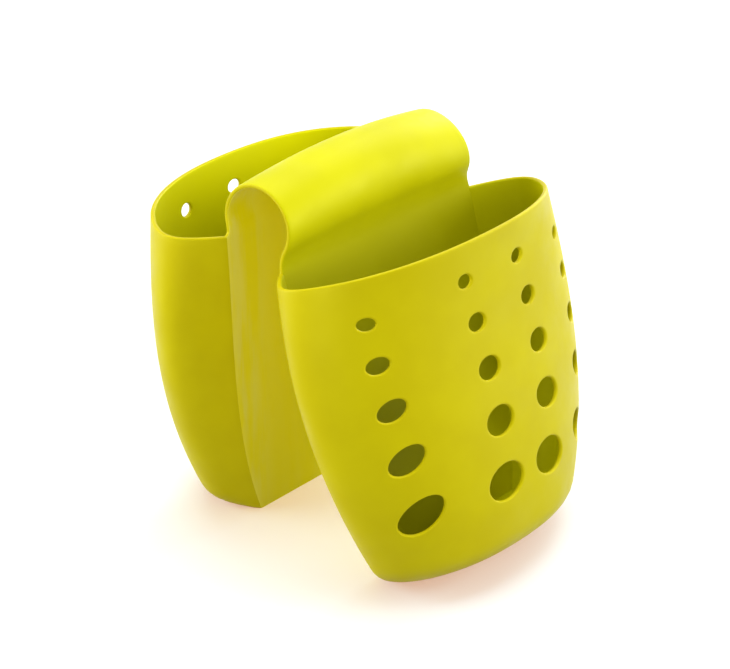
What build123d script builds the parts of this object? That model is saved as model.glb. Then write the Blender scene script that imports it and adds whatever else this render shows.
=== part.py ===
from build123d import *
from math import atan2, cos, hypot, pi, radians, sin, sqrt, tan
import os

os.makedirs("parts", exist_ok=True)

# Kitchen sink caddy: two belly-shaped pockets joined by an arched bridge that sits over a sink divider.
# It is one soft moulding. The nodes are its zones, split where the wall turns or bends.
# X runs across the bridge, front pocket at +X. Y runs along the bridge. Z is up, ground at zero.

# Wall of the moulding and the living hinges, in millimetres
wall = 2.0
hinge_gap = 0.3
seam_inset = 1.8
floor_sink = 0.4
overrun = 4.0

# Bridge over the divider
channel_width = 30.1
arch_radius = 19.0
neck_radius = 15.7
ridge_droop = 6.0
end_slant = 5.0

# Pocket, measured from the neck line down its flat inner panel
pocket_height = 141.0
splay_angle = 17.8
rim_fall = 1.0
bottom_radius = 10.0
corner_depth = 20.1

# Full width of a pocket at its rim, upper, lower and base levels
width_rim = 147.5
width_upper = 156.8
width_lower = 141.1
width_base = 109.7

# How far each side of a pocket stands out past its inner panel, at the same levels
bulge_rim = 15.2
bulge_upper = 21.5
bulge_lower = 17.4
bulge_base = 11.8

# Depth of a pocket away from its inner panel, at the same levels
depth_rim = 64.2
depth_upper = 59.2
depth_lower = 56.6
depth_base = 47.7

# Drain holes: rows grow downwards, columns are placed by their turn round the belly
first_hole_drop = 16.5
first_hole_diameter = 6.6
hole_gap = 11.0
hole_growth = 1.285
hole_rows = 5
inner_column_turn = 11.0
near_column_turn = 48.4
far_column_turn = 42.0
front_offset_turn = 4.3
front_bow_turn = 28.0
rear_offset_turn = 9.4
rear_bow_turn = 0.0
inner_stretch = 1.2
outer_stretch = 1.5
outer_fall = 3.0
outer_tilt = 6.0
tilt_step = 3.5

# Shape shares: levels of the named widths, fullness of the belly, places of the lofted sections
level_shares = (0.0, 0.35, 0.7, 1.0)
corner_share = 0.6
belly_side_share = 2.0 / 2.29
belly_depth_share = 2.0 / 1.74
wall_section_shares = (0.22, 0.46, 0.7)
column_bow_share = 0.49
probe_share = 0.001
rounding_turns = (0, 30, 60, 90)
corner_step_shares = (0.0, 0.35, 0.7)
belly_turns = (0, 21, 43, 66, 90, 114, 137, 159, 180)
end_pulls = (1, 1)


def level_value(level, rim, upper, lower, base):
    """The smooth value at a level, 0 at the neck line and 1 at the floor, through four named ones."""
    total = 0
    values = (rim, upper, lower, base)
    for i, value in enumerate(values):
        for j, other in enumerate(level_shares):
            if j != i:
                value = value * (level - other) / (level_shares[i] - other)
        total += value
    return total


def half_width(level):
    return level_value(level, width_rim, width_upper, width_lower, width_base) / 2


def half_panel(level):
    return half_width(level) - level_value(level, bulge_rim, bulge_upper, bulge_lower, bulge_base)


def depth(level):
    return level_value(level, depth_rim, depth_upper, depth_lower, depth_base)


def belly_point(level, turn, inset):
    """A point of the round outer stretch: turn 0 is its near end, 180 its far end."""
    side = half_width(level) - inset
    corner = corner_depth * depth(level) / depth_rim
    reach = depth(level) - inset - corner
    along, out = -cos(radians(turn)), abs(sin(radians(turn)))
    y = side * abs(along) ** belly_side_share * (1 if along > 0 else -1)
    return corner + reach * out ** belly_depth_share, y


def crease_angle(level):
    """The angle at which the round wall leaves the plane of the inner panel."""
    corner = corner_depth * depth(level) / depth_rim
    return atan2(corner_share * corner, half_width(level) - half_panel(level))


def outline(level, panel_inset, inset):
    """Points of one level of a pocket, from the panel's near crease round the belly to its far crease."""
    angle = crease_angle(level)
    corner = corner_depth * depth(level) / depth_rim
    start = half_panel(level) - panel_inset * tan((pi / 2 - angle) / 2)
    side = half_width(level) - inset
    bend = panel_inset + (side - start) * tan(angle)
    near = []
    for step in corner_step_shares:
        x = (1 - step) ** 2 * panel_inset + 2 * step * (1 - step) * bend + step**2 * corner
        y = (1 - step) ** 2 * start + (1 - (1 - step) ** 2) * side
        near.append((x, -y))
    belly = [belly_point(level, turn, inset) for turn in belly_turns]
    far = [(x, -y) for x, y in reversed(near)]
    return near + belly + far


def section(drop, panel_inset, inset):
    """The closed face of a pocket at a drop below the neck line."""
    level = drop / pocket_height
    points = outline(level, panel_inset, inset)
    leave = (sin(crease_angle(level)), -cos(crease_angle(level)))
    arrive = (-leave[0], leave[1])
    curve = Spline(*points, tangents=[leave, arrive], tangent_scalars=end_pulls)
    face = make_face([curve, Line(points[-1], points[0])])
    return Pos(0, 0, -drop) * face


def bowl(panel_inset, inset, round_width, round_height, top):
    """A closed pocket form: its long walls and, below them, its rounded bottom edge."""
    shoulder = pocket_height - bottom_radius
    drops = [-top] + [share * pocket_height for share in wall_section_shares] + [shoulder]
    body = loft([section(drop, panel_inset, inset) for drop in drops])
    rounding = []
    for turn in rounding_turns:
        drop = shoulder + round_height * sin(radians(turn))
        rounding.append(section(drop, panel_inset, inset + round_width * (1 - cos(radians(turn)))))
    return body + loft(rounding)


def side_prism(points, length):
    """A solid whose outline lies in the XZ plane, as long on each side of it as length."""
    return extrude(Plane.XZ * make_face(Polyline(*points, close=True)), length, both=True)


def above_rim():
    """Everything above the rim, which falls a little towards the outside."""
    reach = depth_rim + wall + overrun
    slope = rim_fall / depth_rim
    lift = overrun + wall
    points = [(-overrun, lift), (-overrun, slope * overrun), (reach, -slope * reach), (reach, lift)]
    return side_prism(points, width_upper)


def panel_zone():
    """The space of the flat inner panel, just inside the two crease lines."""
    shoulder = pocket_height - bottom_radius
    drops = [-overrun] + [share * pocket_height for share in wall_section_shares] + [shoulder]
    slices = []
    for drop in drops + [pocket_height + overrun]:
        width = 2 * (half_panel(drop / pocket_height) - seam_inset)
        slices.append(Pos(wall / 2, 0, -drop) * Rectangle(wall + 2 * overrun, width))
    return loft(slices)


def floor_zone():
    """The space of the floor plate, one wall thick."""
    reach = depth_rim + overrun
    top = -(pocket_height - wall)
    points = [(-overrun, top), (reach, top), (reach, top - wall - overrun), (-overrun, top - wall - overrun)]
    return side_prism(points, width_upper)


def hinge_round(radius, length):
    """A round bar along the neck line, centred in the thickness of the panel."""
    return Pos(wall / 2, 0, 0) * Rot(90, 0, 0) * Cylinder(radius, length)


def hole_cutter(drop, turn, radius, stretch, tilt):
    """One drain hole, square to the wall, as wide as its stretch and turned by its tilt."""
    level = drop / pocket_height
    step = probe_share

    def place(lv, tn):
        x, y = belly_point(lv, tn, 0)
        return Vector(x, y, -lv * pocket_height)

    centre = place(level, turn)
    across = (place(level, turn + step) - place(level, turn - step)).normalized()
    down = place(level + step, turn) - place(level - step, turn)
    outward = down.cross(across).normalized()
    plane = Plane(origin=centre, x_dir=across, z_dir=outward).rotated((0, 0, tilt))
    ellipse = Ellipse(radius * sqrt(stretch), radius / sqrt(stretch))
    return extrude(plane * ellipse, radius + wall + overrun, both=True)


def drain_holes(offset_turn, bow_turn):
    """Rows of holes that grow downwards, in two inner and two outer columns about a middle line.
    The outer columns hang lower than the inner ones, most at the top row."""
    cutters = []
    drop, radius = first_hole_drop, first_hole_diameter / 2
    for row in range(hole_rows):
        middle = 90 + offset_turn - bow_turn * (drop / pocket_height - column_bow_share) ** 2
        tilt = outer_tilt + row * tilt_step
        low = drop + outer_fall * (1 - row / (hole_rows - 1))
        cutters.append(hole_cutter(low, middle - near_column_turn, radius, outer_stretch, tilt))
        cutters.append(hole_cutter(drop, middle - inner_column_turn, radius, inner_stretch, 0))
        cutters.append(hole_cutter(drop, middle + inner_column_turn, radius, inner_stretch, 0))
        cutters.append(hole_cutter(low, middle + far_column_turn, radius, outer_stretch, -tilt))
        larger = radius * hole_growth
        drop += radius + hole_gap + larger
        radius = larger
    return cutters


def pocket(offset_turn, bow_turn):
    """The panel, belly wall and floor of one pocket, its neck line on the Y axis and belly at +X."""
    outer = bowl(0, 0, bottom_radius, bottom_radius, overrun)
    inner_radius = bottom_radius - wall
    inner = bowl(wall, wall, inner_radius, inner_radius + floor_sink, overrun + wall)
    floor = outer & floor_zone()
    sides = outer - inner - above_rim() - floor_zone()
    sides -= hinge_round(wall / 2 + hinge_gap, 2 * half_panel(0))
    panel = sides & panel_zone()
    belly = sides - panel_zone()
    for cutter in drain_holes(offset_turn, bow_turn):
        belly -= cutter
    return panel, belly, floor


def fillet_arc(centre, radius, start, end):
    """Three points of an arc about a centre, between two directions in radians."""
    turns = (start, (start + end) / 2, end)
    return [(centre[0] + radius * cos(turn), centre[1] + radius * sin(turn)) for turn in turns]


def arch_points(inset):
    """One face of the bridge's section, from the rear neck over the ridge to the front neck."""
    tilt = radians(splay_angle)
    rear_neck = (-channel_width / 2 - wall, rear_neck_height)
    front_neck = (channel_width / 2 + wall * cos(tilt), front_neck_height + wall * sin(tilt))
    rear = (rear_neck[0] - neck_radius, rear_neck[1])
    front = (front_neck[0] + neck_radius * cos(tilt), front_neck[1] + neck_radius * sin(tilt))
    span, rise = front[0] - rear[0], front[1] - rear[1]
    half = hypot(span, rise) / 2
    lift = sqrt((arch_radius + neck_radius) ** 2 - half**2)
    lean = atan2(rise, span)
    centre = ((rear[0] + front[0]) / 2 - lift * sin(lean), (rear[1] + front[1]) / 2 + lift * cos(lean))
    to_rear = atan2(rear[1] - centre[1], rear[0] - centre[0]) + 2 * pi
    to_front = atan2(front[1] - centre[1], front[0] - centre[0])
    points = fillet_arc(rear, neck_radius + inset, 0, to_rear - pi)[:-1]
    steps = 8
    for i in range(steps + 1):
        turn = to_rear + (to_front - to_rear) * i / steps
        points.append((centre[0] + (arch_radius - inset) * cos(turn), centre[1] + (arch_radius - inset) * sin(turn)))
    points += fillet_arc(front, neck_radius + inset, to_front + pi, tilt + pi)[1:]
    return points


def arch_section(y, droop):
    """The closed face of the bridge at a place along it: its ridge lowered by the droop, its necks round."""
    outer, inner = arch_points(0), arch_points(wall)
    rear, front = outer[0], outer[-1]
    top = max(z for x, z in outer) - (rear[1] + front[1]) / 2

    def lowered(points):
        chord = [rear[1] + (front[1] - rear[1]) * (x - rear[0]) / (front[0] - rear[0]) for x, z in points]
        return [(x, z - droop * max(z - low, 0) / top) for (x, z), low in zip(points, chord)]

    tilt = radians(splay_angle)
    up, down = (0, 1), (sin(tilt), -cos(tilt))
    outer, inner = lowered(outer), lowered(inner)
    rear_middle = ((outer[0][0] + inner[0][0]) / 2, (outer[0][1] + inner[0][1]) / 2)
    front_middle = ((outer[-1][0] + inner[-1][0]) / 2, (outer[-1][1] + inner[-1][1]) / 2)
    rear_tip = (rear_middle[0], rear_middle[1] - wall / 2)
    front_tip = (front_middle[0] + wall / 2 * down[0], front_middle[1] + wall / 2 * down[1])
    edges = [
        Spline(*outer, tangents=[up, down], tangent_scalars=end_pulls),
        ThreePointArc(outer[-1], front_tip, inner[-1]),
        Spline(*inner, tangents=[up, down], tangent_scalars=end_pulls),
        ThreePointArc(inner[0], rear_tip, outer[0]),
    ]
    return Pos(0, y, 0) * (Plane.XZ * make_face(edges))


def end_trim(side):
    """The space beyond one slanted end of the bridge."""
    base = min(rear_neck_height, front_neck_height)
    top = arch_top() + overrun
    slant = end_slant * (top - base) / (arch_top() - base)
    edge = bridge_length / 2
    far = edge + 2 * overrun
    low = base - wall - overrun
    points = [(edge, low), (edge, base), (edge - slant, top), (far, top), (far, low)]
    outline = make_face(Polyline(*[(side * y, z) for y, z in points], close=True))
    return extrude(Plane.YZ * outline, channel_width + arch_radius, both=True)


def arch_top():
    return max(z for x, z in arch_points(0))


def bridge():
    """The arched bridge, its necks ending in round noses on the two hinge lines."""
    half = bridge_length / 2 + overrun
    droop = ridge_droop * (half / (bridge_length / 2)) ** 2
    arch = loft([arch_section(-half, droop), arch_section(0, 0), arch_section(half, droop)])
    return arch - end_trim(-1) - end_trim(1)


# Places of the two pockets: the rear one stands flat, the front one leans on its inner bottom edge
rear_neck_height = pocket_height
front_neck_height = pocket_height * cos(radians(splay_angle))
rear_place = Pos(-channel_width / 2, 0, rear_neck_height) * Rot(0, 0, 180)
front_place = Pos(channel_width / 2, 0, front_neck_height) * Rot(0, -splay_angle, 0)
bridge_length = 2 * half_panel(0) - 2 * hinge_gap

rear_panel, rear_belly, rear_floor = pocket(rear_offset_turn, rear_bow_turn)
front_panel, front_belly, front_floor = pocket(front_offset_turn, front_bow_turn)
parts = {
    "bridge": bridge(),
    "rear_inner_panel": rear_place * rear_panel,
    "rear_belly_wall": rear_place * rear_belly,
    "rear_floor": rear_place * rear_floor,
    "front_inner_panel": front_place * front_panel,
    "front_belly_wall": front_place * front_belly,
    "front_floor": front_place * front_floor,
}

# The origin is the middle of the whole caddy's footprint, on the ground
extent = Compound(children=[Part() + part for part in parts.values()]).bounding_box()
centring = Pos(-extent.center().X, -extent.center().Y, -extent.min.Z)

for name, shape in parts.items():
    export_step(centring * shape, f"parts/{name}.step")

rear_axis = centring * rear_place * Pos(wall / 2, 0, 0)
front_axis = centring * front_place * Pos(wall / 2, 0, 0)
print("rear hinge", rear_axis.position, "front hinge", front_axis.position)
print("extent", extent.size, "channel centre", centring.position)
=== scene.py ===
from math import atan2, cos, hypot, pi, radians, sin, sqrt, tan

import bmesh
import bpy
import numpy as np
from mathutils import Matrix, Vector


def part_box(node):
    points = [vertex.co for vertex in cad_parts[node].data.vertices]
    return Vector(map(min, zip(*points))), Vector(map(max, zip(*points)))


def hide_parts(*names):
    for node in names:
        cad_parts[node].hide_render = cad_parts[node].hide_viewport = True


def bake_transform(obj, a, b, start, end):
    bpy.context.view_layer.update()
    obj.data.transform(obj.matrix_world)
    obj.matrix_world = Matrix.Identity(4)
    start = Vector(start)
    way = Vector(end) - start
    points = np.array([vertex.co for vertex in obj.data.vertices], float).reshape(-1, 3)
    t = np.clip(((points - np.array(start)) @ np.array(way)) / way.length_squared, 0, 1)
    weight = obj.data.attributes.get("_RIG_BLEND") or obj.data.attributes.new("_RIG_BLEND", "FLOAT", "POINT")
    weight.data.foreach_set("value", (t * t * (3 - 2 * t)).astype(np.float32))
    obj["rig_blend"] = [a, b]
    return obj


# Kitchen sink caddy: one soft moulding of even wall, two belly pockets hung from an arched bridge.
# The moulding's outer sheet is laid first, in millimetres, then given its wall and rounded lips.
MM = 0.001

# Wall, and the lips rounded on it
WALL = 2.0
LIP = 0.8
LIP_SEGMENTS = 4
RIM_ANGLE = radians(50)
SOFT_ANGLE = radians(25)
CREASE_ANGLE = radians(10)

# Bridge over the divider
CHANNEL_WIDTH = 30.1
ARCH_RADIUS = 19.0
NECK_RADIUS = 15.7
RIDGE_DROOP = 6.0
END_SLANT = 5.0
HINGE_GAP = 0.3

# Pocket, measured down from its neck line
HEIGHT = 141.0
SPLAY = radians(17.8)
RIM_FALL = 1.0
BOTTOM_RADIUS = 10.0
CORNER_DEPTH = 20.1
WIDTHS = (147.5, 156.8, 141.1, 109.7)
BULGES = (15.2, 21.5, 17.4, 11.8)
DEPTHS = (64.2, 59.2, 56.6, 47.7)
LEVEL_SHARES = (0.0, 0.35, 0.7, 1.0)
CORNER_SHARE = 0.6
SIDE_SHARE = 2.0 / 2.29
DEPTH_SHARE = 2.0 / 1.74
CORNER_STEPS = (0.0, 0.35, 0.7)
CORNER_TURN = 30.0
BELLY_TURNS = (0, 21, 43, 66, 90, 114, 137, 159, 180)

# Drain holes: columns by their turn round the belly, rows growing downwards
FIRST_DROP = 16.5
FIRST_RADIUS = 3.3
HOLE_GAP = 11.0
HOLE_GROWTH = 1.285
HOLE_ROWS = 5
COLUMN_TURNS = (-48.4, -11.0, 11.0, 42.0)
COLUMN_STRETCHES = (1.5, 1.2, 1.2, 1.5)
COLUMN_TILTS = (1, 0, 0, -1)
COLUMN_FALLS = (1, 0, 0, 1)
REAR_OFFSET = 9.4
REAR_BOW = 0.0
FRONT_OFFSET = 4.3
FRONT_BOW = 28.0
CELL_EDGE_TURNS = (-67.1, -29.7, 0.0, 26.5, 57.5)
BOW_SHARE = 0.49
OUTER_FALL = 3.0
OUTER_TILT = 6.0
TILT_STEP = 3.5
LIP_ROOM = 1.3
RING_SHARES = (0.25, 0.5, 0.75)

# Colours of the soft rubber, outside, inside the pockets and where it is rubbed; the inside colours are a
# greener copy of the rubber that stands in for the hue of its shade
OUTER_DEEP = (0.57, 0.485, 0.0)
OUTER_LIGHT = (0.61, 0.53, 0.0)
INNER_DEEP = (0.6, 0.58, 0.0)
INNER_LIGHT = (0.66, 0.64, 0.0)
# Painted shade below the necks
PAINTED_NECK_SHADE = (0.44, 0.43, 0.0)
# Painted shade low down in the pockets
PAINTED_LOW_SHADE = (0.32, 0.31, 0.0)
# Painted glow on the far walls
PAINTED_FAR_GLOW = (0.82, 0.8, 0.0)
CHANNEL = (0.86, 0.77, 0.0)
RUBBED = (0.88, 0.82, 0.2)
SHEEN = (1.0, 0.95, 0.15)

# Rubbing in the channel: upright streaks, strongest at the near end
STREAK_SCALES = (1, 1, 0.12)
RUBBED_FROM = -62.0
RUBBED_TO = -30.0

# Heights between which painted shade darkens the inside below the necks
NECK_FROM = 124.0
NECK_TO = 156.0

# Heights between which painted shade darkens the inside towards the floors
LOW_FROM = 60.0
LOW_TO = 112.0

# Places along the caddy between which that painted shade fades towards the far end
NEAR_FROM = 5.0
NEAR_TO = 45.0
FAR_SHARE = 0.3

# Distances from the channel's middle between which a painted glow stands in for light coming through the far
# walls
GLOW_FROM = 34.0
GLOW_TO = 56.0

# Studio: the paper floor as it is seen, its glow and what it bounces, then the light from above
PAPER = (0.5, 0.78, 0.88)
PAPER_GLOW = (0.54, 0.21, 0.1)
PAPER_BOUNCE = (0.24, 0.24, 0.24)
PAPER_SIZE = 6.0
SKY_STRENGTH = 0.46
SUN_STRENGTH = 1.8
SUN_SPREAD = radians(50)
SUN_PLACE = (-0.25, 0.25, 1.3)
LAMP_AIM = (0, 0, 0.08)

# Mesh: its spacing, and how near two points count as one
STEP = 2.6
ARCH_STEP = 2.0
PANEL_COLUMNS = 44
CORNER_COLUMNS = 11
RIM_ROWS = 3
SHOULDER_ROWS = 4
ROUND_ROWS = 6
FLOOR_INSET = 2.0
FLOOR_REACH = 0.5
MERGE_REACH = 0.02
PROBE = 0.5
ROUNDS = 5

# Camera, in the part's frame
AZIMUTH = radians(43.168)
ELEVATION = radians(28.859)
DISTANCE = 0.857009
TARGET = Vector((0.052607, -0.060402, 0.126075))
LENS = 107.39


def level_value(level, values):
    """The value at a level, on the one curve that passes through the values of the four known levels."""
    total = 0
    for i, value in enumerate(values):
        for j, other in enumerate(LEVEL_SHARES):
            if j != i:
                value = value * (level - other) / (LEVEL_SHARES[i] - other)
        total += value
    return total


def half_width(level):
    return level_value(level, WIDTHS) / 2


def half_panel(level):
    return half_width(level) - level_value(level, BULGES)


def outline(level, inset):
    """One level of a pocket's outer face as a smooth curve: knots, points, slopes and turns."""
    depth = level_value(level, DEPTHS)
    corner = CORNER_DEPTH * depth / DEPTHS[0]
    start = half_panel(level)
    side = half_width(level) - inset
    angle = atan2(CORNER_SHARE * corner, half_width(level) - start)
    bend = (side - start) * tan(angle)
    near = []
    for step in CORNER_STEPS:
        x = 2 * step * (1 - step) * bend + step**2 * corner
        near.append((x, -((1 - step) ** 2 * start + (1 - (1 - step) ** 2) * side)))
    belly = []
    for turn in BELLY_TURNS:
        along, out = -cos(radians(turn)), abs(sin(radians(turn)))
        y = side * abs(along) ** SIDE_SHARE * (1 if along > 0 else -1)
        belly.append((corner + (depth - inset - corner) * out**DEPTH_SHARE, y))
    points = np.array(near + belly + [(x, -y) for x, y in reversed(near)])
    near_turns = [-CORNER_TURN * (1 - step) for step in CORNER_STEPS]
    turns = near_turns + list(BELLY_TURNS) + [180 - turn for turn in reversed(near_turns)]
    steps = np.linalg.norm(np.diff(points, axis=0), axis=1)
    count = len(points)
    system, right = np.eye(count), np.zeros((count, 2))
    right[0], right[-1] = (sin(angle), -cos(angle)), (-sin(angle), -cos(angle))
    for i in range(1, count - 1):
        before, after = steps[i - 1], steps[i]
        system[i, i - 1 : i + 2] = after, 2 * (before + after), before
        right[i] = 3 * after / before * (points[i] - points[i - 1])
        right[i] += 3 * before / after * (points[i + 1] - points[i])
    knots = np.concatenate(([0.0], np.cumsum(steps)))
    return knots, points, np.linalg.solve(system, right), turns


def on_outline(curve, turn, even):
    """A point of the outline. Even is 0 where turns fall as on the belly, 1 where they are spread alike."""
    knots, points, slopes, turns = curve
    spread = knots[-1] * (turn + CORNER_TURN) / (180 + 2 * CORNER_TURN)
    place = np.interp(turn, turns, knots) * (1 - even) + spread * even
    i = int(min(max(np.searchsorted(knots, place, side="right") - 1, 0), len(knots) - 2))
    step = knots[i + 1] - knots[i]
    s = (place - knots[i]) / step
    point = (1 + 2 * s) * (1 - s) ** 2 * points[i] + s * (1 - s) ** 2 * step * slopes[i]
    return point + s * s * (3 - 2 * s) * points[i + 1] + s * s * (s - 1) * step * slopes[i + 1]


def belly_place(turn, run):
    """A point of the belly's outer face. The run goes down the wall and, past the shoulder, round under."""
    shoulder = HEIGHT - BOTTOM_RADIUS
    drop, inset = run, 0.0
    if run > shoulder:
        bend = (run - shoulder) / BOTTOM_RADIUS
        drop, inset = shoulder + BOTTOM_RADIUS * sin(bend), BOTTOM_RADIUS * (1 - cos(bend))
    low = hole_rows()[-1][0] + hole_rows()[-1][1] + HOLE_GAP / 2
    even = min(max((run - low) / (shoulder - low), 0.0), 1.0)
    x, y = on_outline(outline(drop / HEIGHT, inset), turn, even)
    first = FIRST_DROP - FIRST_RADIUS - HOLE_GAP / 2
    if run < first:
        drop += (1 - run / first) * RIM_FALL * x / DEPTHS[0]
        x, y = on_outline(outline(drop / HEIGHT, inset), turn, even)
    return np.array((x, y, -drop))


def panel_place(share, run):
    """A point of the inner panel's channel face, its share across from -1 to 1."""
    shoulder = HEIGHT - BOTTOM_RADIUS
    drop = run
    if run > shoulder:
        drop = shoulder + BOTTOM_RADIUS * sin((run - shoulder) / BOTTOM_RADIUS)
    return np.array((0.0, share * half_panel(drop / HEIGHT), -drop))


def evenly(start, end, count):
    return [start + (end - start) * i / count for i in range(count)]


def hole_rows():
    """The drop and radius of each row of holes."""
    rows, drop, radius = [], FIRST_DROP, FIRST_RADIUS
    for _ in range(HOLE_ROWS):
        rows.append((drop, radius))
        larger = radius * HOLE_GROWTH
        drop += radius + HOLE_GAP + larger
        radius = larger
    return rows


def runs():
    """The runs at which the pocket's mesh has rows, and the numbers of the rows that border the holes."""
    rows = hole_rows()
    borders = [rows[0][0] - rows[0][1] - HOLE_GAP / 2]
    borders += [drop + radius + HOLE_GAP / 2 for drop, radius in rows]
    lines = evenly(0.0, borders[0], RIM_ROWS)
    cells = []
    for low, high in zip(borders, borders[1:]):
        cells.append(len(lines))
        lines += evenly(low, high, round((high - low) / STEP))
    cells.append(len(lines))
    shoulder = HEIGHT - BOTTOM_RADIUS
    lines += evenly(borders[-1], shoulder, SHOULDER_ROWS)
    lines += evenly(shoulder, shoulder + BOTTOM_RADIUS * pi / 2, ROUND_ROWS)
    return lines + [shoulder + BOTTOM_RADIUS * pi / 2], cells


def turns(middle):
    """The turns at which the belly's mesh has columns, and the numbers of those that border the holes."""
    borders = [middle + edge for edge in CELL_EDGE_TURNS]
    lines = evenly(-CORNER_TURN, 0.0, CORNER_COLUMNS) + evenly(0.0, borders[0], round(borders[0] / STEP))
    cells = []
    for low, high in zip(borders, borders[1:]):
        cells.append(len(lines))
        lines += evenly(low, high, round((high - low) / STEP))
    cells.append(len(lines))
    lines += evenly(borders[-1], 180.0, round((180 - borders[-1]) / STEP))
    return lines + evenly(180.0, 180 + CORNER_TURN, CORNER_COLUMNS) + [180 + CORNER_TURN], cells


def bowed(turn, run, middle, bow):
    """A turn shifted by the bow of the hole columns, which fades out towards the corners."""
    shift = -bow * (min(run / HEIGHT, 1.0) - BOW_SHARE) ** 2
    end = -CORNER_TURN if turn < middle else 180 + CORNER_TURN
    reach = (turn - middle) / (end - middle)
    return turn + shift * (1 - reach**2)


def flat_turn(turn, run, middle, bow):
    """The turn on the flat grid that the bow carries to the given turn."""
    flat = turn
    for _ in range(ROUNDS):
        flat += turn - bowed(flat, run, middle, bow)
    return flat


def hole_edge(turn, run, radius, stretch, tilt, angles):
    """Turns and runs of points round one hole, an ellipse in the plane that touches the belly there."""
    centre = belly_place(turn, run)
    across = belly_place(turn + PROBE, run) - belly_place(turn - PROBE, run)
    down = belly_place(turn, run + PROBE) - belly_place(turn, run - PROBE)
    turn_rate, run_rate = 2 * PROBE / np.linalg.norm(across), 2 * PROBE / np.linalg.norm(down)
    across, down = across / np.linalg.norm(across), down / np.linalg.norm(down)
    wide, high = radius * sqrt(stretch), radius / sqrt(stretch)
    edge = []
    for angle in angles:
        right = wide * cos(angle) * cos(tilt) - high * sin(angle) * sin(tilt)
        up = wide * cos(angle) * sin(tilt) + high * sin(angle) * cos(tilt)
        t, r = turn + right * turn_rate, run - up * run_rate
        for _ in range(ROUNDS):
            offset = belly_place(t, r) - centre
            t += (right - offset @ across) * turn_rate
            r += (-up - offset @ down) * run_rate
        edge.append((t, r))
    return edge


def flat_grid(name, columns, rows):
    """A grid primitive whose vertices lie at the given columns and rows."""
    bpy.ops.object.select_all(action="DESELECT")
    bpy.ops.mesh.primitive_grid_add(x_subdivisions=len(columns) - 1, y_subdivisions=len(rows) - 1, size=2)
    grid = bpy.context.object
    grid.name = name
    for vertex in grid.data.vertices:
        i = round((vertex.co.x + 1) / 2 * (len(columns) - 1))
        j = round((vertex.co.y + 1) / 2 * (len(rows) - 1))
        vertex.co = (columns[i], rows[j], 0.0)
    return grid


def cell_border(left, right, low, high):
    """The grid places round one hole's cell, and the angles at which the hole's edge answers them."""
    border = [(i, high) for i in range(left, right)] + [(right, j) for j in range(high, low, -1)]
    border += [(i, low) for i in range(right, left, -1)] + [(left, j) for j in range(low, high)]
    across, up = right - left, high - low
    angles = []
    for start, count in ((225, across), (-45, up), (45, across), (135, up)):
        angles += [radians(start + 90 * i / count) for i in range(count)]
    return border, angles


def fill_with_rings(form, rim, edge):
    """Rings of faces from a cell's rim in to the hole's edge, with room for the lip beside the edge."""
    firsts = [LIP_ROOM / hypot(far.co.x - t, far.co.y - r) for (t, r), far in zip(edge, rim)]
    outer = rim
    for step in (*reversed(RING_SHARES), 0.0, None):
        ring = []
        for (t, r), far, first in zip(edge, rim, firsts):
            share = 0.0 if step is None else first + (1 - first) * step
            ring.append(form.verts.new((t + (far.co.x - t) * share, r + (far.co.y - r) * share, 0)))
        for i in range(len(rim)):
            form.faces.new((outer[i - 1], outer[i], ring[i], ring[i - 1]))
        outer = ring


def open_holes(grid, columns, rows, column_cells, row_cells, middle, bow):
    """Each hole's cell gives way to rings of faces that run from the cell's border to the hole's edge."""
    form = bmesh.new()
    form.from_mesh(grid.data)
    at = {}
    for vertex in form.verts:
        i = columns.index(min(columns, key=lambda c: abs(c - vertex.co.x)))
        j = rows.index(min(rows, key=lambda r: abs(r - vertex.co.y)))
        at[i, j] = vertex
    for row, (drop, radius) in enumerate(hole_rows()):
        low, high = row_cells[row], row_cells[row + 1]
        shift = -bow * (drop / HEIGHT - BOW_SHARE) ** 2
        for column, turn in enumerate(COLUMN_TURNS):
            left, right = column_cells[column], column_cells[column + 1]
            border, angles = cell_border(left, right, low, high)
            tilt = radians(COLUMN_TILTS[column] * (OUTER_TILT + row * TILT_STEP))
            hung = drop + COLUMN_FALLS[column] * OUTER_FALL * (1 - row / (HOLE_ROWS - 1))
            edge = hole_edge(middle + turn + shift, hung, radius, COLUMN_STRETCHES[column], tilt, angles)
            edge = [(flat_turn(t, r, middle, bow), r) for t, r in edge]
            inside = [at.pop((i, j)) for i in range(left + 1, right) for j in range(low + 1, high)]
            bmesh.ops.delete(form, geom=inside, context="VERTS")
            fill_with_rings(form, [at[key] for key in border], edge)
    form.to_mesh(grid.data)
    form.free()


def lay(grid, place, setting):
    """Moves each vertex of a flat grid to its place on the moulding, in metres."""
    for vertex in grid.data.vertices:
        vertex.co = setting @ Vector(place(vertex.co.x, vertex.co.y)) * MM


def pocket(name, setting, offset, bow):
    """The belly and channel face of one pocket, as grids laid in place."""
    rows, row_cells = runs()
    middle = 90 + offset
    columns, column_cells = turns(middle)
    belly = flat_grid(name + "_belly", columns, rows)
    open_holes(belly, columns, rows, column_cells, row_cells, middle, bow)
    lay(belly, lambda turn, run: belly_place(bowed(turn, run, middle, bow), run), setting)
    shares = evenly(-1.0, 1.0, PANEL_COLUMNS) + [1.0]
    panel = flat_grid(name + "_panel", shares, rows)
    lay(panel, panel_place, setting)
    return [belly, panel]


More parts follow.
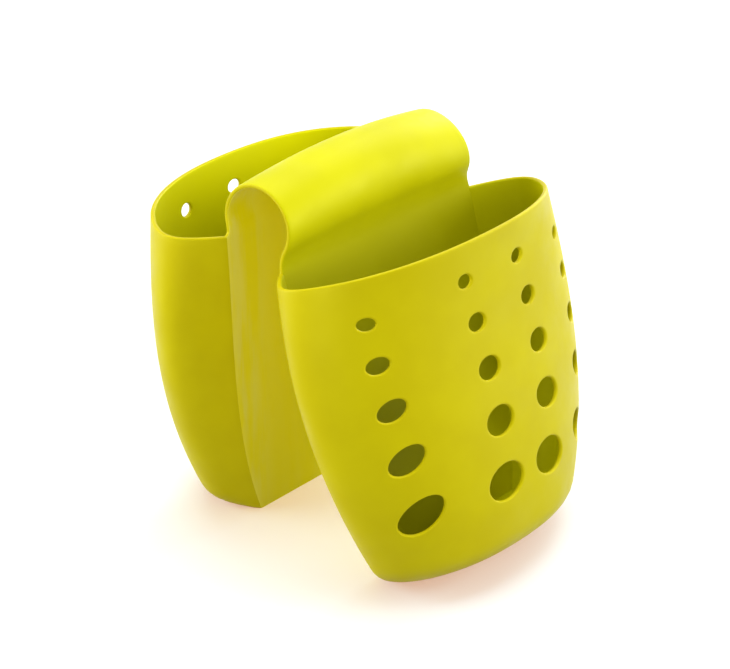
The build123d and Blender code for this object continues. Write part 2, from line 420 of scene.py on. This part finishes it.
def arch_path():
    """The bridge's underside from rear neck to front neck, with the row where its bend turns over."""
    rear_neck = (-CHANNEL_WIDTH / 2 - WALL, HEIGHT)
    front_neck = (CHANNEL_WIDTH / 2 + WALL * cos(SPLAY), HEIGHT * cos(SPLAY) + WALL * sin(SPLAY))
    rear = (rear_neck[0] - NECK_RADIUS, rear_neck[1])
    front = (front_neck[0] + NECK_RADIUS * cos(SPLAY), front_neck[1] + NECK_RADIUS * sin(SPLAY))
    span, rise = front[0] - rear[0], front[1] - rear[1]
    lift = sqrt((ARCH_RADIUS + NECK_RADIUS) ** 2 - hypot(span, rise) ** 2 / 4)
    lean = atan2(rise, span)
    halfway = ((rear[0] + front[0]) / 2, (rear[1] + front[1]) / 2)
    centre = (halfway[0] - lift * sin(lean), halfway[1] + lift * cos(lean))
    to_rear = atan2(rear[1] - centre[1], rear[0] - centre[0]) + 2 * pi
    to_front = atan2(front[1] - centre[1], front[0] - centre[0])
    neck, ridge = NECK_RADIUS + WALL, ARCH_RADIUS - WALL
    path = []
    for middle, radius, start, end in (
        (rear, neck, 0.0, to_rear - pi),
        (centre, ridge, to_rear, to_front),
        (front, neck, to_front + pi, SPLAY + pi),
    ):
        if middle == centre:
            seam = len(path)
        for angle in evenly(start, end, round(radius * abs(end - start) / ARCH_STEP)):
            path.append((middle[0] + radius * cos(angle), middle[1] + radius * sin(angle)))
    path.append((CHANNEL_WIDTH / 2, HEIGHT * cos(SPLAY)))
    top = centre[1] + ARCH_RADIUS
    return path, seam, rear_neck, front_neck, top


def arch(setting):
    """The underside of the bridge: its ridge droops and its ends lean in towards the top."""
    path, seam, rear_neck, front_neck, top = arch_path()
    shares = evenly(-1.0, 1.0, PANEL_COLUMNS) + [1.0]
    grid = flat_grid("arch", shares, [float(i) for i in range(len(path))])
    edge = half_panel(0) - HINGE_GAP
    base = HEIGHT * cos(SPLAY)
    rise = top - (rear_neck[1] + front_neck[1]) / 2

    def place(share, row):
        x, z = path[round(row)]
        if round(row) in (0, len(path) - 1):
            return x, share * half_panel(0), z
        end = edge - END_SLANT * (z - base) / (top - base)
        along = (x - rear_neck[0]) / (front_neck[0] - rear_neck[0])
        neck_line = rear_neck[1] + (front_neck[1] - rear_neck[1]) * along
        droop = RIDGE_DROOP * (share * end / edge) ** 2
        return x, share * end, z - droop * max(z - neck_line, 0) / rise

    lay(grid, place, setting)
    return grid, seam


def select_faces(piece, test):
    """Enters edit mode with only the faces that pass a test selected."""
    bpy.ops.object.select_all(action="DESELECT")
    piece.select_set(True)
    bpy.context.view_layer.objects.active = piece
    for part in (piece.data.vertices, piece.data.edges):
        part.foreach_set("select", [False] * len(part))
    for face in piece.data.polygons:
        face.select = test(face)
    bpy.ops.object.mode_set(mode="EDIT")
    bpy.ops.mesh.select_mode(type="FACE")


def join(pieces, name):
    bpy.ops.object.select_all(action="DESELECT")
    for piece in pieces:
        piece.select_set(True)
    bpy.context.view_layer.objects.active = pieces[0]
    bpy.ops.object.join()
    pieces[0].name = name
    return pieces[0]


def close_floors(sheet):
    """Fills the two open bottoms and insets each floor, so that its flat stays flat in shading."""
    form = bmesh.new()
    form.from_mesh(sheet.data)
    for side in (-1, 1):
        loop = [e for e in form.edges if e.is_boundary and on_floor(e, side)]
        made = bmesh.ops.contextual_create(form, geom=loop)["faces"]
        for face in made:
            face[form.faces.layers.float["front_part"]] = max(side, 0)
        bmesh.ops.inset_region(form, faces=made, thickness=FLOOR_INSET * MM)
    form.to_mesh(sheet.data)
    form.free()


def on_floor(edge, side):
    """Whether an edge lies in the ring at the bottom of the rear (-1) or front (1) pocket."""
    for vertex in edge.verts:
        x, z = vertex.co.x / MM - CENTRE, vertex.co.z / MM
        drop = HEIGHT - z
        if side > 0:
            drop = (x - CHANNEL_WIDTH / 2) * sin(SPLAY) - (z - HEIGHT * cos(SPLAY)) * cos(SPLAY)
        if side * x < 0 or abs(drop - HEIGHT) > FLOOR_REACH:
            return False
    return True


def outer_sheet():
    """Both pockets' outer faces and the bridge's underside as one sheet that faces outwards."""
    rear_place = Matrix.Translation((CENTRE - CHANNEL_WIDTH / 2, 0, HEIGHT)) @ Matrix.Rotation(pi, 4, "Z")
    front_place = Matrix.Translation((CENTRE + CHANNEL_WIDTH / 2, 0, HEIGHT * cos(SPLAY)))
    front_place = front_place @ Matrix.Rotation(-SPLAY, 4, "Y")
    rear = pocket("rear", rear_place, REAR_OFFSET, REAR_BOW)
    front = pocket("front", front_place, FRONT_OFFSET, FRONT_BOW)
    bridge, seam = arch(Matrix.Translation((CENTRE, 0, 0)))
    for piece in (rear[-1], front[-1], bridge):
        side = piece.data.attributes.new("channel_side", "FLOAT", "FACE")
        side.data.foreach_set("value", [1.0] * len(side.data))
    finish = soft_finish()
    for piece in rear + front + [bridge]:
        piece.data.materials.append(finish)
        share = piece.data.attributes.new("front_part", "FLOAT", "FACE")
        rows = [min(face.vertices) // (PANEL_COLUMNS + 1) for face in piece.data.polygons]
        in_front = [piece in front or piece is bridge and row >= seam for row in rows]
        share.data.foreach_set("value", [float(value) for value in in_front])
    sheet = join(rear + front + [bridge], "moulding")
    bpy.ops.object.mode_set(mode="EDIT")
    bpy.ops.mesh.select_all(action="SELECT")
    bpy.ops.mesh.remove_doubles(threshold=MERGE_REACH * MM)
    bpy.ops.object.mode_set(mode="OBJECT")
    close_floors(sheet)
    bpy.ops.object.mode_set(mode="EDIT")
    bpy.ops.mesh.select_all(action="SELECT")
    bpy.ops.mesh.normals_make_consistent(inside=False)
    bpy.ops.object.mode_set(mode="OBJECT")
    outermost = min(sheet.data.polygons, key=lambda face: face.center.x)
    if outermost.normal.x > 0:
        bpy.ops.object.mode_set(mode="EDIT")
        bpy.ops.mesh.flip_normals()
        bpy.ops.object.mode_set(mode="OBJECT")
    return sheet


def moulding():
    """The whole moulding: the outer sheet with its wall laid inwards and its lips rounded."""
    sheet = outer_sheet()
    wall = sheet.modifiers.new("wall", "SOLIDIFY")
    wall.thickness = WALL * MM
    wall.offset = -1
    wall.use_even_offset = True
    wall.use_quality_normals = True
    outer_count = len(sheet.data.polygons)
    bpy.ops.object.modifier_apply(modifier="wall")
    mark_faces_and_lips(sheet, outer_count)
    lips = sheet.modifiers.new("lips", "BEVEL")
    lips.width = LIP * MM
    lips.segments = LIP_SEGMENTS
    lips.limit_method = "WEIGHT"
    lips.use_clamp_overlap = False
    bpy.ops.object.modifier_apply(modifier="lips")
    return sheet


def mark_faces_and_lips(sheet, outer_count):
    """Marks the inner faces, and the edges to round: each rim, and each belly's crease with its panel."""
    form = bmesh.new()
    form.from_mesh(sheet.data)
    inner = form.faces.layers.float.new("inner_face")
    side = form.faces.layers.float["channel_side"]
    weight = form.edges.layers.float.new("bevel_weight_edge")
    for face in form.faces:
        face[inner] = float(outer_count <= face.index < 2 * outer_count)
        if face.index >= 2 * outer_count:
            face[side] = 0.0
    for edge in form.edges:
        angle = edge.calc_face_angle(0)
        along = edge.verts[1].co - edge.verts[0].co
        first, second = edge.link_faces
        last = max(first.index, second.index)
        on_rim = last >= 2 * outer_count and angle > RIM_ANGLE
        meets_panel = last < outer_count and first[side] != second[side]
        on_crease = meets_panel and angle > CREASE_ANGLE and abs(along.y) < abs(along.z)
        edge[weight] = float(on_rim or on_crease)
    form.to_mesh(sheet.data)
    form.free()


def noise(tree, place, scale, detail, rough, scales=(1, 1, 1)):
    """Noise over the object's own coordinates, each of them scaled first."""
    scaled = tree.nodes.new("ShaderNodeMapping")
    scaled.inputs["Scale"].default_value = scales
    tree.links.new(place, scaled.inputs["Vector"])
    made = tree.nodes.new("ShaderNodeTexNoise")
    made.inputs["Scale"].default_value = scale
    made.inputs["Detail"].default_value = detail
    made.inputs["Roughness"].default_value = rough
    tree.links.new(scaled.outputs[0], made.inputs["Vector"])
    return made.outputs["Fac"]


def ranged(tree, source, low, high, start, end):
    """A smooth change from start, where the source is low, to end, where it is high."""
    made = tree.nodes.new("ShaderNodeMapRange")
    made.interpolation_type = "SMOOTHSTEP"
    for name, value in zip(("From Min", "From Max", "To Min", "To Max"), (low, high, start, end)):
        made.inputs[name].default_value = value
    tree.links.new(source, made.inputs["Value"])
    return made.outputs["Result"]


def times(tree, first, second):
    made = tree.nodes.new("ShaderNodeMath")
    made.operation = "MULTIPLY"
    tree.links.new(first, made.inputs[0])
    tree.links.new(second, made.inputs[1])
    return made.outputs[0]


def blended(tree, share, first, second):
    """A colour between two, each the output of a node or a written colour."""
    made = tree.nodes.new("ShaderNodeMix")
    made.data_type = "RGBA"
    tree.links.new(share, made.inputs["Factor"])
    for socket, colour in ((made.inputs["A"], first), (made.inputs["B"], second)):
        if isinstance(colour, tuple):
            socket.default_value = (*colour, 1)
        else:
            tree.links.new(colour, socket)
    return made.outputs["Result"]


def mottled(tree, place, scale, detail, deep, light):
    """A colour that wanders between two in soft patches."""
    patches = noise(tree, place, scale, detail, rough=0.5)
    return blended(tree, ranged(tree, patches, 0.3, 0.7, start=0.0, end=1.0), deep, light)


def bumped(tree, height, strength, distance, normal=None):
    """A normal tilted by a height, over another normal where one is given."""
    made = tree.nodes.new("ShaderNodeBump")
    made.inputs["Strength"].default_value = strength
    made.inputs["Distance"].default_value = distance * MM
    tree.links.new(height, made.inputs["Height"])
    if normal is not None:
        tree.links.new(normal, made.inputs["Normal"])
    return made.outputs[0]


def face_mark(tree, name):
    made = tree.nodes.new("ShaderNodeAttribute")
    made.attribute_name = name
    return made.outputs["Fac"]


def from_middle(tree, x):
    """How far a place is from the channel's middle, to either side."""
    offset = tree.nodes.new("ShaderNodeMath")
    offset.operation = "SUBTRACT"
    offset.inputs[1].default_value = CENTRE * MM
    tree.links.new(x, offset.inputs[0])
    distance = tree.nodes.new("ShaderNodeMath")
    distance.operation = "ABSOLUTE"
    tree.links.new(offset.outputs[0], distance.inputs[0])
    return distance.outputs[0]


def inside_colour(tree, place, x, y, z):
    """The pockets' insides: a greener copy of the rubber standing in for the hue of shade, with painted
    shade below the necks and low down, and a painted glow on the walls far from them.
    """
    colour = mottled(tree, place, 30, 2, INNER_DEEP, INNER_LIGHT)
    # Painted shade below the necks
    neck_shade = ranged(tree, z, NECK_FROM * MM, NECK_TO * MM, start=1.0, end=0.0)
    # Painted glow on the walls far from the channel's middle
    painted_glow = ranged(tree, from_middle(tree, x), GLOW_FROM * MM, GLOW_TO * MM, start=0.0, end=1.0)
    # Painted shade low down, fading towards the far end
    low = ranged(tree, z, LOW_FROM * MM, LOW_TO * MM, start=1.0, end=0.0)
    near = ranged(tree, y, NEAR_FROM * MM, NEAR_TO * MM, start=1.0, end=FAR_SHARE)
    colour = blended(tree, neck_shade, colour, PAINTED_NECK_SHADE)
    colour = blended(tree, painted_glow, colour, PAINTED_FAR_GLOW)
    return blended(tree, times(tree, low, near), colour, PAINTED_LOW_SHADE)


def rubbing(tree, place, y):
    """Where the channel is rubbed pale: in upright streaks, most of all at its near end."""
    streaks = noise(tree, place, scale=90, detail=4, rough=0.6, scales=STREAK_SCALES)
    streaks = ranged(tree, streaks, 0.38, 0.6, start=0.0, end=0.7)
    near_end = ranged(tree, y, RUBBED_FROM * MM, RUBBED_TO * MM, start=1.0, end=0.1)
    return times(tree, streaks, near_end)


def soft_finish():
    """Satin chartreuse rubber: mottled, rougher in patches, finely grained, rubbed pale in the channel, with
    painted shade and a painted glow on its inner faces.
    """
    finish = bpy.data.materials.new("soft_rubber")
    finish.use_nodes = True
    tree = finish.node_tree
    shader = tree.nodes["Principled BSDF"]
    shader.inputs["IOR"].default_value = 1.45
    shader.inputs["Specular IOR Level"].default_value = 0.5
    shader.inputs["Specular Tint"].default_value = (*SHEEN, 1)
    place = tree.nodes.new("ShaderNodeTexCoord").outputs["Object"]
    apart = tree.nodes.new("ShaderNodeSeparateXYZ")
    tree.links.new(place, apart.inputs[0])
    x, y, z = apart.outputs

    inner = face_mark(tree, "inner_face")
    outer = ranged(tree, inner, 0.0, 1.0, start=1.0, end=0.0)
    channel = times(tree, face_mark(tree, "channel_side"), outer)
    outside = mottled(tree, place, 38, 3, OUTER_DEEP, OUTER_LIGHT)
    # The inner faces take a greener copy of the rubber for the hue of shade, with painted shade and a
    # painted glow
    colour = blended(tree, inner, outside, inside_colour(tree, place, x, y, z))
    colour = blended(tree, channel, colour, CHANNEL)
    colour = blended(tree, times(tree, channel, rubbing(tree, place, y)), colour, RUBBED)
    tree.links.new(colour, shader.inputs["Base Color"])

    patches = noise(tree, place, scale=55, detail=4, rough=0.6)
    roughness = ranged(tree, patches, 0.25, 0.75, start=0.42, end=0.58)
    tree.links.new(roughness, shader.inputs["Roughness"])
    waves = noise(tree, place, scale=70, detail=3, rough=0.55)
    grain = noise(tree, place, scale=1600, detail=2, rough=0.5)
    wavy = bumped(tree, waves, strength=0.25, distance=0.6)
    grainy = bumped(tree, grain, strength=0.12, distance=0.1, normal=wavy)
    tree.links.new(grainy, shader.inputs["Normal"])
    return finish


def part_skins(sheet):
    """Parts the moulding where the bridge's bend turns over, closes each cut and smooths the shading."""
    front = sheet.data.attributes["front_part"].data
    select_faces(sheet, lambda face: front[face.index].value > 0.5)
    bpy.ops.mesh.separate(type="SELECTED")
    bpy.ops.object.mode_set(mode="OBJECT")
    skins = sorted(bpy.context.selected_objects, key=lambda o: min(v.co.x for v in o.data.vertices))
    for skin, name in zip(skins, ("rear_skin", "front_skin")):
        skin.name = name
        bpy.ops.object.select_all(action="DESELECT")
        skin.select_set(True)
        bpy.context.view_layer.objects.active = skin
        bpy.ops.object.mode_set(mode="EDIT")
        bpy.ops.mesh.select_mode(type="EDGE")
        bpy.ops.mesh.select_all(action="DESELECT")
        bpy.ops.mesh.select_non_manifold()
        bpy.ops.mesh.edge_face_add()
        bpy.ops.mesh.select_all(action="SELECT")
        bpy.ops.mesh.normals_make_consistent(inside=False)
        bpy.ops.object.mode_set(mode="OBJECT")
        bpy.ops.object.shade_smooth_by_angle(angle=SOFT_ANGLE)
    return skins


def camera():
    data = bpy.data.cameras.new("camera")
    data.lens = LENS
    view = bpy.data.objects.new("camera", data)
    bpy.context.scene.collection.objects.link(view)
    back = Vector((sin(AZIMUTH) * cos(ELEVATION), -cos(AZIMUTH) * cos(ELEVATION), sin(ELEVATION)))
    view.location = TARGET + DISTANCE * back
    view.rotation_euler = back.to_track_quat("Z", "Y").to_euler()
    bpy.context.scene.camera = view


def soft_lamp(name, place, size, power):
    data = bpy.data.lights.new(name, "AREA")
    data.shape = "DISK"
    data.size = size
    data.energy = power
    lamp = bpy.data.objects.new(name, data)
    bpy.context.scene.collection.objects.link(lamp)
    lamp.location = place
    lamp.rotation_euler = (Vector(place) - Vector(LAMP_AIM)).to_track_quat("Z", "Y").to_euler()


def light_from_above():
    lamp = bpy.data.objects.new("above", bpy.data.lights.new("above", "SUN"))
    lamp.data.energy = SUN_STRENGTH
    lamp.data.angle = SUN_SPREAD
    lamp.rotation_euler = Vector(SUN_PLACE).to_track_quat("Z", "Y").to_euler()
    bpy.context.scene.collection.objects.link(lamp)


def paper_floor():
    """A floor that looks like white paper but throws only a little light back at the part."""
    bpy.ops.object.select_all(action="DESELECT")
    bpy.ops.mesh.primitive_plane_add(size=PAPER_SIZE)
    floor = bpy.context.object
    floor.name = "floor"
    paper = bpy.data.materials.new("paper")
    paper.use_nodes = True
    nodes, links = paper.node_tree.nodes, paper.node_tree.links
    shown = nodes["Principled BSDF"]
    shown.inputs["Base Color"].default_value = (*PAPER, 1)
    shown.inputs["Emission Color"].default_value = (*PAPER_GLOW, 1)
    shown.inputs["Emission Strength"].default_value = 1.0
    shown.inputs["Roughness"].default_value = 1.0
    shown.inputs["Specular IOR Level"].default_value = 0.0
    bounced = nodes.new("ShaderNodeBsdfDiffuse")
    bounced.inputs["Color"].default_value = (*PAPER_BOUNCE, 1)
    surface = seen_directly(nodes, links, bounced.outputs[0], shown.outputs[0])
    links.new(surface, nodes["Material Output"].inputs[0])
    floor.data.materials.append(paper)


def white_room():
    """White all round where it is seen, and a dimmer white as a source of light."""
    world = bpy.data.worlds.new("studio")
    bpy.context.scene.world = world
    world.use_nodes = True
    nodes, links = world.node_tree.nodes, world.node_tree.links
    sky = nodes["Background"]
    sky.inputs["Color"].default_value = (1, 1, 1, 1)
    sky.inputs["Strength"].default_value = SKY_STRENGTH
    seen = nodes.new("ShaderNodeBackground")
    seen.inputs["Color"].default_value = (1, 1, 1, 1)
    seen.inputs["Strength"].default_value = 1.0
    backdrop = seen_directly(nodes, links, sky.outputs[0], seen.outputs[0])
    links.new(backdrop, nodes["World Output"].inputs[0])


def studio():
    """A paper floor in a white room, lit from above and by four soft lamps round the part."""
    paper_floor()
    light_from_above()
    soft_lamp("left", (-1.0, -0.95, 0.5), size=0.9, power=12)
    soft_lamp("near", (0.5, -1.35, 0.42), size=0.6, power=7)
    soft_lamp("right", (0.95, 0.8, 0.5), size=0.9, power=10)
    soft_lamp("behind", (-0.25, 1.3, 0.62), size=1.0, power=9)
    white_room()
    bpy.context.scene.view_settings.view_transform = "Standard"


def seen_directly(nodes, links, otherwise, seen):
    """A mix that the camera, reflections and glass see as one shader, and all other light as another."""
    path = nodes.new("ShaderNodeLightPath")
    direct = path.outputs["Is Camera Ray"]
    for name in ("Is Glossy Ray", "Is Transmission Ray"):
        either = nodes.new("ShaderNodeMath")
        either.operation = "MAXIMUM"
        links.new(direct, either.inputs[0])
        links.new(path.outputs[name], either.inputs[1])
        direct = either.outputs[0]
    mix = nodes.new("ShaderNodeMixShader")
    links.new(direct, mix.inputs[0])
    links.new(otherwise, mix.inputs[1])
    links.new(seen, mix.inputs[2])
    return mix.outputs[0]


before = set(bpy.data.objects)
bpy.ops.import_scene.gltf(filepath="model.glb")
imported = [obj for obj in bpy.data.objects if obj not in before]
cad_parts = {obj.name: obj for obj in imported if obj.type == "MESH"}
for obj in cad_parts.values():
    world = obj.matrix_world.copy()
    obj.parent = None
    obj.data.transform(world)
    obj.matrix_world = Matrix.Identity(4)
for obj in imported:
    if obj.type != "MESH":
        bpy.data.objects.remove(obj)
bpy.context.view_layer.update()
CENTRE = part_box("rear_inner_panel")[1].x / MM + CHANNEL_WIDTH / 2

# Each skin bends over its neck: from the neck line, in the middle of the wall, to a few millimetres above
skins = part_skins(moulding())
rear_skin, front_skin = skins
rear_hinge = Vector((CENTRE - (CHANNEL_WIDTH + WALL) / 2, 0, HEIGHT))
front_neck = Vector((CENTRE + CHANNEL_WIDTH / 2, 0, HEIGHT * cos(SPLAY)))
front_hinge = front_neck + Vector((cos(SPLAY), 0, sin(SPLAY))) * WALL / 2
front_up = Vector((-sin(SPLAY), 0, cos(SPLAY)))
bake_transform(rear_skin, "bridge", "rear_pocket", (rear_hinge + Vector((0, 0, 5.6))) * MM, rear_hinge * MM)
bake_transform(front_skin, "bridge", "front_pocket", (front_hinge + front_up * 8) * MM, front_hinge * MM)
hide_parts("rear_inner_panel", "rear_belly_wall", "rear_floor")
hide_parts("bridge", "front_inner_panel", "front_belly_wall", "front_floor")
camera()
studio()
